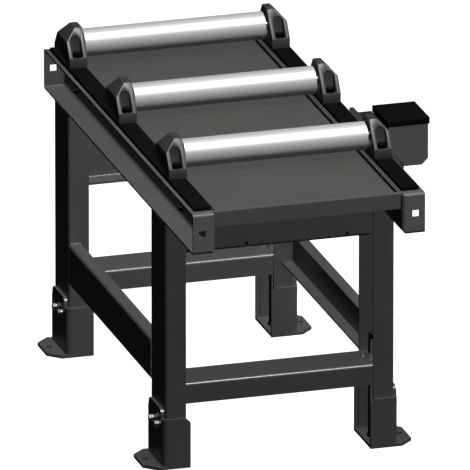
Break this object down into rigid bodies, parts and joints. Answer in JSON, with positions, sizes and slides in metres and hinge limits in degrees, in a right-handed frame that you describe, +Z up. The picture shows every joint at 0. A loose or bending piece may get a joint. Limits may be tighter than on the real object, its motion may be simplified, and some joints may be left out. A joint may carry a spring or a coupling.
{
  "type": "roller conveyor",
  "caption": "Short floor-standing conveyor frame with idle steel rollers in bearing blocks over a shallow tray, on levelling feet.",
  "frame": {"origin": "on the floor, at the centre of the four anchor holes", "axes": "+Y along the line towards the rear end, +X to the right across the line, +Z up"},
  "size_m": [0.6168, 1, 0.646],
  "materials": {
    "frame_paint": "satin grey paint",
    "strip_black": "black matte sheet",
    "zinc": "zinc plated",
    "screw_black": "blackened steel",
    "cast_grey": "grey painted casting",
    "bearing_steel": "ground steel",
    "roller_steel": "bright zinc plated tube",
    "box_grey": "satin grey paint",
    "lid_black": "black matte cap",
    "bracket_black": "black paint",
    "bar_grey": "bare drawn bar"
  },
  "bodies": {
    "frame": {"rail_left": "frame_paint", "rail_right": "frame_paint", "strip_left": "strip_black", "strip_right": "strip_black", "tray": "frame_paint", "tray_cleat_left": "frame_paint", "tray_cleat_right": "frame_paint", "crossbeam_front": "frame_paint", "crossbeam_rear": "frame_paint", "beam_screws": "zinc", "leg_front_left": "frame_paint", "leg_front_right": "frame_paint", "leg_rear_left": "frame_paint", "leg_rear_right": "frame_paint", "side_brace_left": "frame_paint", "side_brace_right": "frame_paint", "cross_brace_front": "frame_paint", "cross_brace_rear": "frame_paint", "jack_nuts": "zinc", "brace_bolts": "zinc", "block_front_left": "cast_grey", "block_front_right": "cast_grey", "block_mid_left": "cast_grey", "block_mid_right": "cast_grey", "block_rear_left": "cast_grey", "block_rear_right": "cast_grey", "bearings": "bearing_steel", "block_bolts": "zinc", "box_body": "box_grey", "mounting_bar": "bar_grey", "box_bracket": "bracket_black", "bar_bolts": "zinc", "box_screws": "zinc"},
    "foot_front_left": {"foot_front_left": "frame_paint", "foot_bolts_front_left": "zinc"},
    "jack_front_left": {"jack_front_left": "screw_black"},
    "foot_front_right": {"foot_front_right": "frame_paint", "foot_bolts_front_right": "zinc"},
    "jack_front_right": {"jack_front_right": "screw_black"},
    "foot_rear_left": {"foot_rear_left": "frame_paint", "foot_bolts_rear_left": "zinc"},
    "jack_rear_left": {"jack_rear_left": "screw_black"},
    "foot_rear_right": {"foot_rear_right": "frame_paint", "foot_bolts_rear_right": "zinc"},
    "jack_rear_right": {"jack_rear_right": "screw_black"},
    "roller_front": {"tube_front": "roller_steel", "discs_front": "bearing_steel", "shaft_front": "bearing_steel"},
    "roller_mid": {"tube_mid": "roller_steel", "discs_mid": "bearing_steel", "shaft_mid": "bearing_steel"},
    "roller_rear": {"tube_rear": "roller_steel", "discs_rear": "bearing_steel", "shaft_rear": "bearing_steel"},
    "box_lid": {"box_lid": "lid_black"}
  },
  "joints": [
    {"name": "foot_slide_front_left", "type": "slide", "parent": "frame", "child": "foot_front_left", "axis": [0, 0, 1], "range_m": [-0.035, 0]},
    {"name": "foot_slide_front_right", "type": "slide", "parent": "frame", "child": "foot_front_right", "axis": [0, 0, 1], "range_m": [-0.035, 0]},
    {"name": "foot_slide_rear_left", "type": "slide", "parent": "frame", "child": "foot_rear_left", "axis": [0, 0, 1], "range_m": [-0.035, 0]},
    {"name": "foot_slide_rear_right", "type": "slide", "parent": "frame", "child": "foot_rear_right", "axis": [0, 0, 1], "range_m": [-0.035, 0]},
    {"name": "jack_turn_front_left", "type": "hinge", "parent": "foot_front_left", "child": "jack_front_left", "pos_m": [-0.194, -0.325, 0.006], "axis": [0, 0, 1], "range_deg": [-7200, 0]},
    {"name": "jack_turn_front_right", "type": "hinge", "parent": "foot_front_right", "child": "jack_front_right", "pos_m": [0.194, -0.325, 0.006], "axis": [0, 0, 1], "range_deg": [-7200, 0]},
    {"name": "jack_turn_rear_left", "type": "hinge", "parent": "foot_rear_left", "child": "jack_rear_left", "pos_m": [-0.194, 0.325, 0.006], "axis": [0, 0, 1], "range_deg": [-7200, 0]},
    {"name": "jack_turn_rear_right", "type": "hinge", "parent": "foot_rear_right", "child": "jack_rear_right", "pos_m": [0.194, 0.325, 0.006], "axis": [0, 0, 1], "range_deg": [-7200, 0]},
    {"name": "roller_spin_front", "type": "hinge", "parent": "frame", "child": "roller_front", "pos_m": [0, -0.327, 0.609], "axis": [1, 0, 0], "continuous": true},
    {"name": "roller_spin_mid", "type": "hinge", "parent": "frame", "child": "roller_mid", "pos_m": [0, 0.0063, 0.609], "axis": [1, 0, 0], "continuous": true},
    {"name": "roller_spin_rear", "type": "hinge", "parent": "frame", "child": "roller_rear", "pos_m": [0, 0.3396, 0.609], "axis": [1, 0, 0], "continuous": true},
    {"name": "lid_lift", "type": "slide", "parent": "frame", "child": "box_lid", "axis": [0, 0, 1], "range_m": [0, 0.06]}
  ],
  "couplings": [
    {"joint": "jack_turn_front_left", "follows": "foot_slide_front_left", "rad_per_m": 3590.4},
    {"joint": "jack_turn_front_right", "follows": "foot_slide_front_right", "rad_per_m": 3590.4},
    {"joint": "jack_turn_rear_left", "follows": "foot_slide_rear_left", "rad_per_m": 3590.4},
    {"joint": "jack_turn_rear_right", "follows": "foot_slide_rear_right", "rad_per_m": 3590.4}
  ]
}
